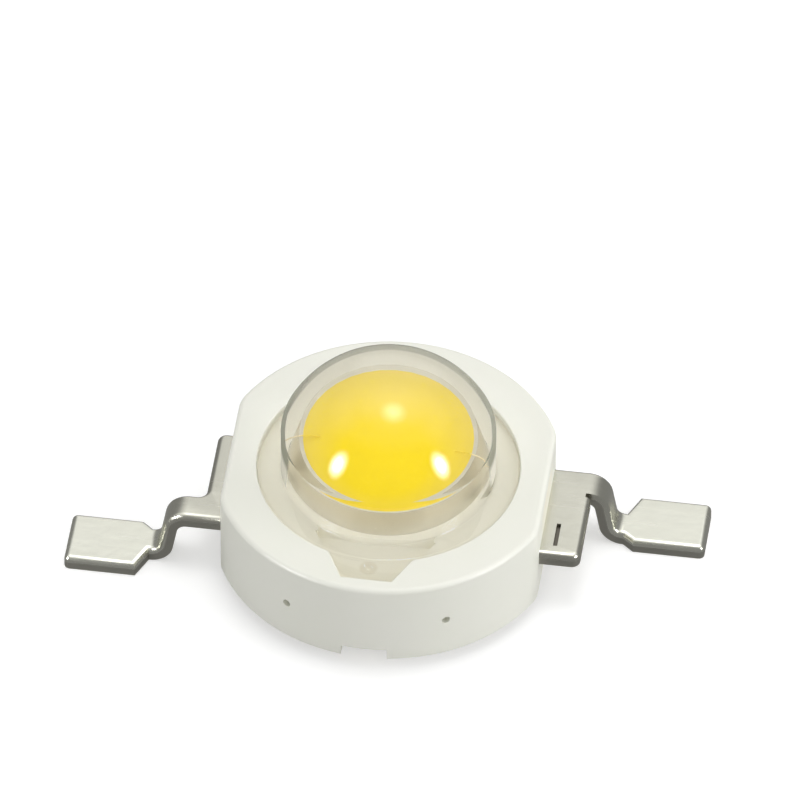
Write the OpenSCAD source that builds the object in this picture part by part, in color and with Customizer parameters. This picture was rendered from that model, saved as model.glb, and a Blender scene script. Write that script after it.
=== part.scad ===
// High power LED emitter: a round moulded housing on a plated copper slug, two stamped and formed
// leads, and a clear gel-filled dome over a reflector cup that holds the chip under its phosphor.
// Millimetres, +Z up. The origin is the middle of the slug's underside, which lies on the board
// together with the undersides of the two solder pads. The anode leaves on the +X side.

/* [Housing] */
// Diameter of the moulded body at its top
housing_d = 8.0; // [7.7:0.1:8.6]
// Height of the moulded body
housing_h = 2.24; // [2.1:0.02:2.8]
// Height of the body's underside over the board
standoff = 0.29; // [0.15:0.01:0.4]
// Depth of each flat, cut in from the round side where a lead leaves
flat_depth = 0.33; // [0.2:0.01:0.42]
// How much narrower the body is at its underside than at its top
draft = 0.06; // [0:0.01:0.12]
// Radius of the body's top edge
top_edge_r = 0.12; // [0.05:0.01:0.2]
// Chamfer of the body's lower edge
lower_chamfer = 0.05; // [0.02:0.01:0.1]
// Width of the index notch in the front of the lower edge
notch_w = 1.06; // [0.6:0.02:1.6]
// Height of the index notch
notch_h = 0.3; // [0.15:0.01:0.5]
// How far the index notch runs in from the wall
notch_in = 0.45; // [0.2:0.05:0.8]
// Diameter of the two pin marks in the wall, left by the pins that held the slug in the mould
pin_mark_d = 0.2; // [0.1:0.02:0.4]
// Depth of the pin marks
pin_mark_depth = 0.25; // [0.1:0.05:0.5]
// How far below the top face the pin marks lie
pin_mark_drop = 1.16; // [0.7:0.02:1.5]
// Angle of each pin mark to the side of the front
pin_mark_angle = 27.3; // [15:0.1:40]

/* [Fill ports] */
// How far each fill port reaches out past the lens recess
port_reach = 0.6; // [0.3:0.05:0.7]
// Width of a port where it opens into the hollow of the lens
port_in_w = 2.76; // [2.4:0.02:3.0]
// Width of a port at its outer end
port_out_w = 1.16; // [0.8:0.02:1.6]
// Depth of a port below the top face, so that it runs in under the lens flange
port_depth = 0.7; // [0.64:0.01:0.75]
// How far a port runs in under the hollow of the lens
port_overlap = 0.2; // [0.1:0.01:0.3]
// Distance from the recess's edge to the dimple that the filling needle left in the front port's gel
dimple_out = 0.22; // [0.15:0.01:0.3]
// Diameter of the dimple
dimple_d = 0.42; // [0.2:0.02:0.6]
// Depth of the dimple
dimple_depth = 0.1; // [0.04:0.01:0.15]

/* [Heat slug] */
// Diameter of the slug's base
slug_d = 5.8; // [5.0:0.1:6.2]
// Chamfer of the slug's lower edge
slug_chamfer = 0.08; // [0.02:0.01:0.14]
// Thickness of the plastic between the slug's base and the leads above it
slug_cover = 0.33; // [0.15:0.01:0.5]
// Diameter of the reflector cup at its rim
cup_d = 2.9; // [2.6:0.05:3.0]
// Diameter of the cup's flat floor
cup_floor_d = 1.9; // [1.7:0.05:2.1]
// Depth of the cup
cup_depth = 0.85; // [0.5:0.05:1.1]
// Width of the cup's flat rim
rim_w = 0.08; // [0.05:0.01:0.15]
// Height of the rim over the housing's top face
rim_proud = 0.42; // [0.2:0.01:0.5]

/* [Leads] */
// Overall length from one pad's tip to the other's
tip_to_tip = 14.5; // [14:0.1:15.5]
// Thickness of the lead strip
strip_t = 0.34; // [0.25:0.01:0.4]
// Height of the plates' undersides over the board
lead_rise = 1.23; // [1.1:0.01:1.3]
// Width of the plates along the flats
plate_w = 2.76; // [2.4:0.02:3.0]
// How far the anode's plate stands out of its flat
anode_plate_out = 0.93; // [0.7:0.01:1.1]
// How far the cathode's plate stands out of its flat
cathode_plate_out = 0.46; // [0.3:0.01:0.7]
// Radius of the plates' outer corners and of the hollow corner beside each neck
plate_corner_r = 0.2; // [0.1:0.01:0.25]
// Width of the neck that joins a plate to its pad
neck_w = 0.72; // [0.5:0.02:0.9]
// Width of the relief between the anode's neck and the plate beside it
neck_relief = 0.12; // [0.05:0.01:0.2]
// Inside radius of the neck's two bends
bend_r = 0.22; // [0.15:0.01:0.25]
// Angle of the neck's two bends
bend_angle = 80; // [70:1:88]
// Length of a solder pad
pad_len = 1.9; // [1.6:0.05:2.1]
// Width of a solder pad
pad_w = 1.46; // [1.2:0.02:1.6]
// Distance from the part's centre line to the middle of a solder pad
pad_mid = 1.19; // [1.05:0.01:1.25]
// Length of the shoulders between the neck and the pad
pad_shoulder = 0.25; // [0.1:0.01:0.4]
// Radius of the pads' tip corners
pad_corner_r = 0.1; // [0.05:0.01:0.2]
// Gap between the slug's neck and the leads' inner ends
slug_gap = 0.2; // [0.15:0.01:0.25]
// Width of the two windows that leave the leads' inner ends bare, in the floor under the lens
window_w = 0.6; // [0.5:0.05:1.2]
// Length of the polarity groove in the anode's plate
groove_len = 0.7; // [0.4:0.05:1.0]
// Width of the polarity groove
groove_w = 0.12; // [0.06:0.01:0.2]
// Depth of the polarity groove
groove_depth = 0.08; // [0.04:0.01:0.12]
// Distance from the flat to the polarity groove
groove_out = 0.33; // [0.2:0.01:0.5]
// Distance from the plate's front end to the polarity groove
groove_back = 0.3; // [0.2:0.01:0.5]

/* [Chip] */
// Side of the square chip
die_w = 1.14; // [0.8:0.02:1.16]
// Thickness of the chip
die_t = 0.15; // [0.1:0.01:0.25]
// Thickness of the layer that bonds the chip to the cup
attach_t = 0.03; // [0.02:0.01:0.05]
// Diameter of the bond wires
wire_d = 0.025; // [0.02:0.005:0.05]
// Diameter of the ball that joins a wire to the chip
ball_d = 0.1; // [0.08:0.01:0.14]
// Height of that ball
ball_h = 0.04; // [0.03:0.005:0.06]
// Diameter of the stitch that joins a wire to its lead
stitch_d = 0.12; // [0.08:0.01:0.16]
// Height of that stitch
stitch_h = 0.03; // [0.02:0.005:0.06]
// Distance from the chip's edge to the middle of a ball
ball_in = 0.17; // [0.1:0.01:0.25]
// Distance from a lead's inner end to the place where its wire lands
landing_in = 0.18; // [0.12:0.01:0.24]
// Height of the wire loops over the outer edge of the cup's rim
loop_over_rim = 0.1; // [0.05:0.01:0.14]

/* [Lens] */
// Diameter of the lens flange
flange_d = 5.9; // [5.7:0.05:6.1]
// Thickness of the lens flange
flange_t = 0.3; // [0.2:0.01:0.4]
// Gap all round between the flange and the wall of its recess
flange_gap = 0.07; // [0.03:0.01:0.12]
// How far the flange's top lies below the housing's top face
flange_sunk = 0.06; // [0.02:0.01:0.1]
// Diameter of the lens's straight collar
collar_d = 4.92; // [4.8:0.02:5.1]
// Radius of the lens's spherical cap
cap_r = 2.675; // [2.62:0.005:2.9]
// Height of the lens over the housing's top face
lens_h = 2.8; // [2.5:0.05:3.1]
// Thickness of the dome
dome_wall = 0.25; // [0.15:0.01:0.35]
// Gap between the wire loops and the inside of the lens
loop_clear = 0.075; // [0.05:0.005:0.1]
// Height of the phosphor's crown over the cup's rim
phosphor_crown = 0.35; // [0.1:0.01:0.45]

/* [Hidden] */
$fn = 96;

// Heights over the board
top_z = standoff + housing_h;
lead_top_z = lead_rise + strip_t;
seat_z = top_z - flange_sunk - flange_t;
gel_z = top_z - flange_sunk;
rim_z = top_z + rim_proud;
cup_floor_z = rim_z - cup_depth;
die_z = cup_floor_z + attach_t;
die_top_z = die_z + die_t;
cap_z = top_z + lens_h - cap_r;
slug_base_h = lead_rise - slug_cover;

// Distances from the centre
housing_r = housing_d / 2;
flat_x = housing_r - flat_depth;
recess_r = flange_d / 2 + flange_gap;
boss_r = cup_d / 2 + rim_w;
lead_inner_r = boss_r + slug_gap;
port_out_y = recess_r + port_reach;
cut = 1;  // how far a cutting shape runs past the face it opens

// The neck's double bend, seen from the side: two arcs joined by a short straight web
neck_out_y = plate_w / 2;
web = (lead_rise - (2 * bend_r + strip_t) * (1 - cos(bend_angle))) / sin(bend_angle);
bend_run = (2 * bend_r + strip_t) * sin(bend_angle) + web * cos(bend_angle);
pad_x = tip_to_tip / 2 - pad_len;
bend_x = pad_x - bend_run;

// A bond wire's loop is the circle through its ball, its landing and a point just over the rim
ball_x = die_w / 2 - ball_in;
landing_x = lead_inner_r + landing_in;
loop_start = [ball_x, die_top_z + ball_h / 2];
loop_end = [landing_x, lead_top_z + stitch_h / 2];
loop_mid = circle_centre(loop_start, loop_end, [boss_r, rim_z + loop_over_rim]);
loop_r = norm(loop_start - loop_mid);
loop_sweep = (loop_angle(loop_start) - loop_angle(loop_end) + 360) % 360;
hollow_r = loop_mid.x + loop_r + wire_d / 2 + loop_clear;
port_in_y = hollow_r - port_overlap;

// Centre of the circle through three points
function circle_centre(a, b, c) =
    let (p = b - a, q = c - a, d = 2 * (p.x * q.y - p.y * q.x))
    a + [q.y * p * p - p.y * q * q, p.x * q * q - q.x * p * p] / d;

// Direction of a point seen from the loop's middle
function loop_angle(point) = atan2(point.y - loop_mid.y, point.x - loop_mid.x);

// Points of an arc, for the outlines that are revolved
function arc(centre, radius, from, to, steps = 6) =
    [for (i = [0:steps]) centre + radius * [cos(from + (to - from) * i / steps),
                                            sin(from + (to - from) * i / steps)]];

// The moulded body: a round wall with draft and two flats
module body() {
    low_r = housing_r - draft / 2;
    intersection() {
        rotate_extrude()
            polygon(concat(
                [[0, standoff], [low_r - lower_chamfer, standoff], [low_r, standoff + lower_chamfer]],
                arc([housing_r - top_edge_r, top_z - top_edge_r], top_edge_r, 0, 90),
                [[0, top_z]]));
        translate([-flat_x, -housing_d, 0])
            cube([2 * flat_x, 2 * housing_d, top_z + cut]);
    }
}

// Outline of one fill port, which widens towards the middle
module port_outline() {
    polygon([[-port_in_w / 2, -port_in_y], [-port_out_w / 2, -port_out_y],
             [port_out_w / 2, -port_out_y], [port_in_w / 2, -port_in_y]]);
}

// The open space in the body's top, up to a given height: the recess, and the two windows and the
// two ports sunk in its floor
module cavity(up_to) {
    translate([0, 0, seat_z])
        cylinder(r = recess_r, h = up_to - seat_z);
    for (turn = [0, 180])
        rotate([0, 0, turn]) {
            translate([lead_inner_r, -window_w / 2, lead_top_z])
                cube([hollow_r - lead_inner_r, window_w, up_to - lead_top_z]);
            translate([0, 0, top_z - port_depth])
                linear_extrude(up_to - top_z + port_depth)
                    port_outline();
        }
}

module index_notch() {
    translate([-notch_w / 2, -housing_r - cut, standoff - cut])
        cube([notch_w, notch_in + cut, notch_h + cut]);
}

module pin_marks() {
    for (side = [-1, 1])
        rotate([0, 0, side * pin_mark_angle])
            translate([0, -housing_r + pin_mark_depth, top_z - pin_mark_drop])
                rotate([90, 0, 0])
                    cylinder(d = pin_mark_d, h = pin_mark_depth + cut, $fn = 32);
}

module housing() {
    color([0.93, 0.93, 0.89])
        difference() {
            body();
            cavity(top_z + cut);
            rotate_extrude() slug_outline();
            lead(anode_plate_out);
            rotate([0, 0, 180]) lead(cathode_plate_out);
            index_notch();
            pin_marks();
        }
}

// Half section of the slug before its cup is sunk
module slug_outline() {
    polygon([[0, 0], [slug_d / 2 - slug_chamfer, 0], [slug_d / 2, slug_chamfer],
             [slug_d / 2, slug_base_h], [boss_r, slug_base_h], [boss_r, rim_z], [0, rim_z]]);
}

// Half section of the reflector cup
module cup_outline() {
    polygon([[0, cup_floor_z], [cup_floor_d / 2, cup_floor_z], [cup_d / 2, rim_z], [0, rim_z]]);
}

module heat_slug() {
    color([0.80, 0.79, 0.75])
        rotate_extrude()
            difference() {
                slug_outline();
                cup_outline();
            }
}

// What is cut away to round a square corner that points along +X +Y from the origin
module corner_waste(r) {
    difference() {
        translate([-r, -r]) square(r + cut);
        translate([-r, -r]) circle(r);
    }
}

// Flat part of a lead, seen from above: the plate round the slug, and the start of its neck
module plate_outline(plate_x) {
    neck_in_y = neck_out_y - neck_w;
    difference() {
        union() {
            difference() {
                translate([0, -plate_w / 2]) square([plate_x, plate_w]);
                translate([plate_x, -plate_w / 2]) mirror([0, 1]) corner_waste(plate_corner_r);
            }
            translate([0, neck_in_y]) square([bend_x, neck_w]);
            neck_fillet(plate_x, neck_in_y);
        }
        circle(lead_inner_r);
        translate([bend_x, neck_in_y - neck_relief])
            square([plate_x, plate_w]);
    }
}

// Hollow corner between the plate's free edge and the neck, where the neck runs on past the plate
module neck_fillet(plate_x, neck_in_y) {
    intersection() {
        translate([plate_x, neck_in_y - plate_corner_r])
            difference() {
                square(plate_corner_r);
                translate([plate_corner_r, 0]) circle(plate_corner_r);
            }
        square([bend_x, plate_w]);
    }
}

// Side section of the strip through one bend, from the bend's own middle
module bend(from) {
    rotate([0, 0, from])
        rotate_extrude(angle = bend_angle)
            translate([bend_r, 0]) square([strip_t, neck_w]);
}

// The neck's double bend, from the plate's level down to the pad's
module neck() {
    translate([0, neck_out_y, 0])
        rotate([90, 0, 0]) {
            translate([bend_x, lead_rise - bend_r]) {
                bend(90 - bend_angle);
                rotate([0, 0, 90 - bend_angle])
                    translate([bend_r, -web, 0]) cube([strip_t, web, neck_w]);
            }
            translate([pad_x, strip_t + bend_r]) bend(270 - bend_angle);
        }
}

// Solder pad, seen from above: shoulders at the neck and rounded corners at the tip
module pad_outline() {
    neck_in_y = neck_out_y - neck_w;
    low_y = pad_mid - pad_w / 2;
    high_y = pad_mid + pad_w / 2;
    difference() {
        polygon([[pad_x, neck_in_y], [pad_x + pad_shoulder, low_y], [pad_x + pad_len, low_y],
                 [pad_x + pad_len, high_y], [pad_x + pad_shoulder, high_y], [pad_x, neck_out_y]]);
        translate([pad_x + pad_len, high_y]) corner_waste(pad_corner_r);
        translate([pad_x + pad_len, low_y]) mirror([0, 1]) corner_waste(pad_corner_r);
    }
}

// One lead on the +X side, with its plate standing out of the flat by plate_out
module lead(plate_out) {
    translate([0, 0, lead_rise])
        linear_extrude(strip_t) plate_outline(flat_x + plate_out);
    neck();
    linear_extrude(strip_t) pad_outline();
}

module anode_lead() {
    color([0.82, 0.82, 0.79])
        difference() {
            lead(anode_plate_out);
            translate([flat_x + groove_out - groove_w / 2, groove_back - plate_w / 2,
                       lead_top_z - groove_depth])
                cube([groove_w, groove_len, groove_depth + cut]);
        }
}

module cathode_lead() {
    color([0.82, 0.82, 0.79])
        rotate([0, 0, 180]) lead(cathode_plate_out);
}

module die_attach() {
    color([0.62, 0.62, 0.60])
        translate([-die_w / 2, -die_w / 2, cup_floor_z]) cube([die_w, die_w, attach_t]);
}

module led_die() {
    color([0.25, 0.32, 0.48])
        translate([-die_w / 2, -die_w / 2, die_z]) cube([die_w, die_w, die_t]);
}

// A wire on the +X side: its ball on the chip, its loop over the rim and its stitch on the lead
module bond_wire() {
    translate([ball_x, 0, die_top_z]) cylinder(d = ball_d, h = ball_h, $fn = 32);
    translate([loop_mid.x, 0, loop_mid.y])
        rotate([90, 0, 0])
            rotate([0, 0, loop_angle(loop_end)])
                rotate_extrude(angle = loop_sweep)
                    translate([loop_r, 0]) circle(d = wire_d, $fn = 24);
    translate([landing_x, 0, lead_top_z]) cylinder(d = stitch_d, h = stitch_h, $fn = 32);
}

module bond_wire_anode() {
    color([0.95, 0.78, 0.30]) bond_wire();
}

module bond_wire_cathode() {
    color([0.95, 0.78, 0.30]) rotate([0, 0, 180]) bond_wire();
}

// Half section of the phosphor: the cup's fill and the crown that stands on its rim
module phosphor_outline() {
    cup_r = cup_d / 2;
    crown_r = (cup_r * cup_r + phosphor_crown * phosphor_crown) / (2 * phosphor_crown);
    cup_outline();
    intersection() {
        translate([0, rim_z]) square([cup_r + cut, phosphor_crown + cut]);
        translate([0, rim_z + phosphor_crown - crown_r]) circle(crown_r);
    }
}

module phosphor_body() {
    rotate_extrude() phosphor_outline();
}

module phosphor() {
    color([0.98, 0.86, 0.18])
        difference() {
            phosphor_body();
            die_attach();
            led_die();
            bond_wire_anode();
            bond_wire_cathode();
        }
}

// Half section of a collar with a dome on it: straight up to the cap's middle, and inside its ball
module dome_outline(collar_r, ball_r) {
    collar_h = cap_z - seat_z;
    intersection() {
        translate([0, seat_z]) square([collar_r, collar_h + ball_r + cut]);
        union() {
            translate([0, seat_z]) square([collar_r, collar_h]);
            translate([0, cap_z]) circle(ball_r);
        }
    }
}

// Half section of the lens from outside, with its flange
module lens_outline() {
    translate([0, seat_z]) square([flange_d / 2, flange_t]);
    dome_outline(collar_d / 2, cap_r);
}

// Half section of the hollow in the lens
module hollow_outline() {
    dome_outline(hollow_r, cap_r - dome_wall);
}

module lens_body() {
    rotate_extrude()
        difference() {
            lens_outline();
            hollow_outline();
        }
}

module lens() {
    color([0.88, 0.92, 0.94, 0.35]) lens_body();
}

// Dimple in the gel of the front port, cut by the ball that gives it its width and depth
module needle_dimple() {
    ball_r = (dimple_d * dimple_d / 4 + dimple_depth * dimple_depth) / (2 * dimple_depth);
    translate([0, -recess_r - dimple_out, gel_z - dimple_depth + ball_r])
        sphere(ball_r);
}

module silicone_fill() {
    color([0.90, 0.90, 0.86, 0.45])
        difference() {
            union() {
                cavity(gel_z);
                rotate_extrude() hollow_outline();
            }
            lens_body();
            rotate_extrude() slug_outline();
            phosphor_body();
            bond_wire_anode();
            bond_wire_cathode();
            needle_dimple();
        }
}

housing();
heat_slug();
anode_lead();
cathode_lead();
led_die();
die_attach();
bond_wire_anode();
bond_wire_cathode();
phosphor();
silicone_fill();
lens();
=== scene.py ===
# %% [markdown]
# A high power LED bead is a small moulded part for a circuit board: a white body round a metal
# slug, two formed metal leads, and a clear dome over a cup of yellow phosphor. This lesson dresses
# its CAD model: every solid is already in place, so what is left is soft edges, clear plastic and
# finishes. The first cell loads that model as a fixed frame.

# %% Load the frame
import math
import bmesh
import bpy
from mathutils import Matrix, Vector


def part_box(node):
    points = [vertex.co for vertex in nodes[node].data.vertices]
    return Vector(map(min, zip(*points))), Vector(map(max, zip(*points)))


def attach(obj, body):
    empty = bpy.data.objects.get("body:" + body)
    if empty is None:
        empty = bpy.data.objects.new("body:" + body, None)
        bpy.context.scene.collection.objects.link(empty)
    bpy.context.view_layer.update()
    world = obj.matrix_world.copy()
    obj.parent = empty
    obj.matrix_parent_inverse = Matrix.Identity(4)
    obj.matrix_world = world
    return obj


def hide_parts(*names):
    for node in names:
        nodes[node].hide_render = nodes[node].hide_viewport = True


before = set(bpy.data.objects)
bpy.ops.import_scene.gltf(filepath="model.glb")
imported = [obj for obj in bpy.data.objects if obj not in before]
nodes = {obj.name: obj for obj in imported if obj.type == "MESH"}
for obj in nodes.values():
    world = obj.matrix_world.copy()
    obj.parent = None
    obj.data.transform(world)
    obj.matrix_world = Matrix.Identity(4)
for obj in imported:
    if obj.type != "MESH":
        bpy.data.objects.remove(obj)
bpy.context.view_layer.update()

print("the frame holds", len(nodes), "solids:", ", ".join(sorted(nodes)))

# %% [markdown]
# The part is so small that millimetres are the natural unit, but Blender's frame is in metres.
# Shapes are therefore drawn in millimetres and made small when a piece is finished, which also
# keeps the modelling operators away from the tiny lengths at which they round off. What the CAD
# model fixes is read from the boxes of its solids, so that it isn't typed twice. Only a size that
# no box shows, such as how deep the gel's top lies, is written out where it is first needed.

# %% Sizes that the CAD model fixes
MM = 0.001


def box_mm(node):
    """Lowest and highest corner of a CAD solid, in millimetres."""
    low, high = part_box(node)
    return low / MM, high / MM


housing_low, housing_high = box_mm("housing")
lens_low, lens_high = box_mm("lens")
gel_high, slug_high, lead_high, phosphor_high = (
    box_mm(node)[1] for node in ("silicone_fill", "heat_slug", "anode_lead", "phosphor"))
flat_x, housing_r, top_z = housing_high
recess_r, port_out_y = gel_high.x, gel_high.y
flange_r, seat_z = lens_high.x, lens_low.z
cup_r, crown_z = phosphor_high.x, phosphor_high.z
rim_z, lead_top_z = slug_high.z, lead_high.z
FLANGE_SUNK = 0.06
gel_z = top_z - FLANGE_SUNK
print(f"housing top at {top_z:.2f} mm, lens apex at {lens_high.z:.2f} mm")

# %% [markdown]
# The photograph was taken with a long lens from high in front, a little from the right. A long
# lens hardly narrows what is far away, so the round body stays an even ellipse. The camera looks
# at a point beside the body's middle, which brings the part to its place in the picture, low in
# the frame. Three directions as the camera has them, to the right, away from it and up, are kept,
# because the lamps are placed by them too.

# %% Camera
CAMERA_AZIMUTH, CAMERA_ELEVATION = math.radians(7.98), math.radians(46.12)
CAMERA_ROLL = math.radians(0.2)
CAMERA_DISTANCE, FOCAL_LENGTH, SENSOR_WIDTH = 0.4, 784, 36
FOCUS_HEIGHT, AIM_RIGHT, AIM_UP = 0.38, 0.2685, 2.970


def linked(name, data):
    """Puts a camera, a lamp or a mesh into the scene as an object."""
    obj = bpy.data.objects.new(name, data)
    bpy.context.scene.collection.objects.link(obj)
    return obj


right = Vector((math.cos(CAMERA_AZIMUTH), math.sin(CAMERA_AZIMUTH), 0))
away = Vector((-math.sin(CAMERA_AZIMUTH), math.cos(CAMERA_AZIMUTH), 0))
up = Vector((0, 0, 1))
back = up * math.sin(CAMERA_ELEVATION) - away * math.cos(CAMERA_ELEVATION)
picture_up = up * math.cos(CAMERA_ELEVATION) + away * math.sin(CAMERA_ELEVATION)
picture_x = right * math.cos(CAMERA_ROLL) + picture_up * math.sin(CAMERA_ROLL)
picture_y = picture_up * math.cos(CAMERA_ROLL) - right * math.sin(CAMERA_ROLL)
focus = Vector((0, 0, FOCUS_HEIGHT * MM))
aim = focus + picture_x * AIM_RIGHT * MM + picture_y * AIM_UP * MM

camera_data = bpy.data.cameras.new("camera")
camera_data.lens, camera_data.sensor_width = FOCAL_LENGTH, SENSOR_WIDTH
camera_data.clip_start = 0.01
camera = linked("camera", camera_data)
turn = Matrix((picture_x, picture_y, back)).transposed()
camera.matrix_world = Matrix.Translation(aim + back * CAMERA_DISTANCE) @ turn.to_4x4()
bpy.context.scene.camera = camera
bpy.context.scene.view_settings.view_transform = "Standard"
print("camera", tuple(round(x, 4) for x in camera.location))

# %% [markdown]
# Every finish below is a set of shader nodes. Written out one by one they are long and hard to
# read. So one small class wraps a node's output, and lets Python's own signs add the Math nodes.

# %% Shader sums
class Wire:
    """The output of a node. Sums on it are written as Python sums and become Math nodes."""

    def __init__(self, finish, socket):
        self.finish, self.socket = finish, socket

    def sum(self, operation, a, b):
        return self.finish.node("ShaderNodeMath", {"operation": operation}, {0: a, 1: b})

    def __add__(self, other):
        return self.sum("ADD", self, other)

    def __radd__(self, other):
        return self.sum("ADD", other, self)

    def __sub__(self, other):
        return self.sum("SUBTRACT", self, other)

    def __rsub__(self, other):
        return self.sum("SUBTRACT", other, self)

    def __mul__(self, other):
        return self.sum("MULTIPLY", self, other)

    def __rmul__(self, other):
        return self.sum("MULTIPLY", other, self)


print("sums of shader values are ready")

# %% [markdown]
# A second class stands for a whole finish. Its method node makes any node from its settings and
# its inputs. The others are the few things that nearly every finish here needs: a point on the
# piece in millimetres, its height and its distance from the upright axis, noise, a ramp between
# two values, a blend of two colours, and relief. All of them read object coordinates, which stay
# on the piece from wherever it is seen.

# %% Finishes made of nodes
class Finish:
    """A material, or the shader of the world or of a lamp, with short ways to add nodes to it."""

    def __init__(self, name, owner=None):
        self.owner = owner or bpy.data.materials.new(name)
        self.owner.use_nodes = True
        self.tree = self.owner.node_tree
        self.shader = next((n for n in self.tree.nodes if n.type == "BSDF_PRINCIPLED"), None)

    def node(self, kind, settings=None, inputs=None, out=0):
        """Adds a node: first its settings, then values or wires on its inputs. One output."""
        made = self.tree.nodes.new(kind)
        for key, value in (settings or {}).items():
            setattr(made, key, value)
        for key, value in (inputs or {}).items():
            self.plug(self.find(made.inputs, key), value)
        return Wire(self, self.find(made.outputs, out))

    def find(self, sockets, key):
        if isinstance(key, int):
            return sockets[key]
        return next(s for s in sockets if key in (s.identifier, s.name))

    def plug(self, socket, value):
        if isinstance(value, Wire):
            self.tree.links.new(value.socket, socket)
        elif socket.type == "RGBA" and len(value) == 3:
            socket.default_value = (*value, 1)
        else:
            socket.default_value = value

    def set(self, **values):
        """Sets sockets of the Principled shader; an underscore stands for a space."""
        for key, value in values.items():
            self.plug(self.shader.inputs[key.replace("_", " ")], value)

    def glow(self, level):
        """Gives off grey light of a level from 0 to 1."""
        grey = self.node("ShaderNodeCombineColor", None, {0: level, 1: level, 2: level})
        self.set(Emission_Strength=1.0, Emission_Color=grey)

    def place(self, stretch=(1, 1, 1)):
        """A point of the piece in millimetres, each axis stretched by a factor."""
        point = self.node("ShaderNodeTexCoord", out="Object")
        return self.node("ShaderNodeVectorMath", {"operation": "MULTIPLY"},
                         {0: point, 1: [s / MM for s in stretch]})

    def height(self):
        """Height over the board in millimetres."""
        return self.node("ShaderNodeSeparateXYZ", None, {0: self.place()}, "Z")

    def across(self):
        """Distance from the part's upright axis in millimetres."""
        return self.node("ShaderNodeVectorMath", {"operation": "LENGTH"},
                         {0: self.place((1, 1, 0))}, "Value")

    def distance(self, a, b):
        """Distance between two points."""
        return self.node("ShaderNodeVectorMath", {"operation": "DISTANCE"}, {0: a, 1: b}, "Value")

    def noise(self, scale, detail=2.0, stretch=(1, 1, 1)):
        """Soft noise from 0 to 1 with a number of patches to the millimetre."""
        return self.node("ShaderNodeTexNoise", {"noise_dimensions": "3D"},
                         {"Vector": self.place(stretch), "Scale": scale, "Detail": detail})

    def blend(self, mask, a, b):
        """Colour a where the mask is 0 and colour b where it is 1."""
        return self.node("ShaderNodeMix", {"data_type": "RGBA"},
                         {"Factor_Float": mask, "A_Color": a, "B_Color": b}, "Result_Color")

    def ramp(self, value, low, high, interpolation="LINEAR", start=0.0):
        """From a start, 0 unless given, at the low value to 1 at the high one, and flat outside."""
        return self.node("ShaderNodeMapRange", {"clamp": True, "interpolation_type": interpolation},
                         {"Value": value, "From Min": low, "From Max": high, "To Min": start})

    def bump(self, height, depth, normal=None):
        """Relief of a depth in millimetres, made from a height from 0 to 1."""
        inputs = {"Height": height, "Distance": depth * MM, "Strength": 1.0}
        if normal:
            inputs["Normal"] = normal
        return self.node("ShaderNodeBump", None, inputs)


print("finishes can be made")

# %% [markdown]
# The world is the white room. What lights the part is dimmer than what the camera, the gloss and
# the clear dome see of it, because the white of the page must not add light to the part. Light
# Path tells the shader which kind of ray asks: the page is white only for rays that show it.

# %% Room
ROOM_LIGHT = 0.52


def shown(finish):
    """1 for rays that show a surface: those of the camera, of gloss and of clear plastic."""
    camera_ray, glossy, through = (finish.node("ShaderNodeLightPath", out=kind) for kind in (
        "Is Camera Ray", "Is Glossy Ray", "Is Transmission Ray"))
    return finish.node("ShaderNodeMath", {"operation": "ADD", "use_clamp": True},
                       {0: camera_ray + glossy, 1: through})


world = bpy.data.worlds.new("room")
bpy.context.scene.world = world
room = Finish("room", world)
background = next(n for n in room.tree.nodes if n.type == "BACKGROUND")
room.plug(background.inputs["Color"], (1, 1, 1))
room.plug(background.inputs["Strength"], shown(room) * (1 - ROOM_LIGHT) + ROOM_LIGHT)
print("the room lights the part at", ROOM_LIGHT)

# %% [markdown]
# Small glossy things are photographed between soft boxes. Two of them stand left and right in
# front and show as two bright ovals in the dome; a small dim one hangs overhead, with a wide and
# fainter one round it. A soft box fades towards its rim, so each lamp's glow is the distance from
# its middle put through a ramp. The two in front only make gloss, and fade twice as softly, by
# the square of the ramp. The wall of the body is lit by two fills near the floor, of which the
# right one is stronger and leaves the left of the wall in shade. They make no gloss, so that the
# dome shows nothing but the soft boxes. The dome would also gather the light of the right fill
# into a bright patch on the body's top, which the real part doesn't show, so that lamp is hidden
# from rays that pass through clear plastic.

# %% Lamps
LAMP_DISTANCE = 0.3


def soft_box(name, direction, wide, tall, radiance, core=0.3, gloss=True, fill=True, through=True):
    """A lamp in a direction seen from the camera's side, its width and height given in degrees."""
    lamp = bpy.data.lights.new(name, "AREA")
    lamp.shape = "ELLIPSE"
    lamp.size = 2 * LAMP_DISTANCE * math.tan(math.radians(wide) / 2)
    lamp.size_y = 2 * LAMP_DISTANCE * math.tan(math.radians(tall) / 2)
    area = math.pi / 4 * lamp.size * lamp.size_y
    lamp.energy = radiance * math.pi * area
    glow = Finish(name, lamp)
    spot = glow.node("ShaderNodeNewGeometry", out="Parametric")
    fade = glow.ramp(glow.distance(spot, (0.5, 0.5, 0)), 0.5, core)
    emission = next(n for n in glow.tree.nodes if n.type == "EMISSION")
    glow.plug(emission.inputs["Strength"], fade if fill else fade * fade)
    obj = linked(name, lamp)
    x, y, z = direction
    pointing = (right * x + away * y + up * z).normalized()
    obj.location = pointing * LAMP_DISTANCE
    obj.rotation_euler = pointing.to_track_quat("Z", "Y").to_euler()
    obj.visible_glossy, obj.visible_diffuse = gloss, fill
    obj.visible_transmission = fill and through


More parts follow.
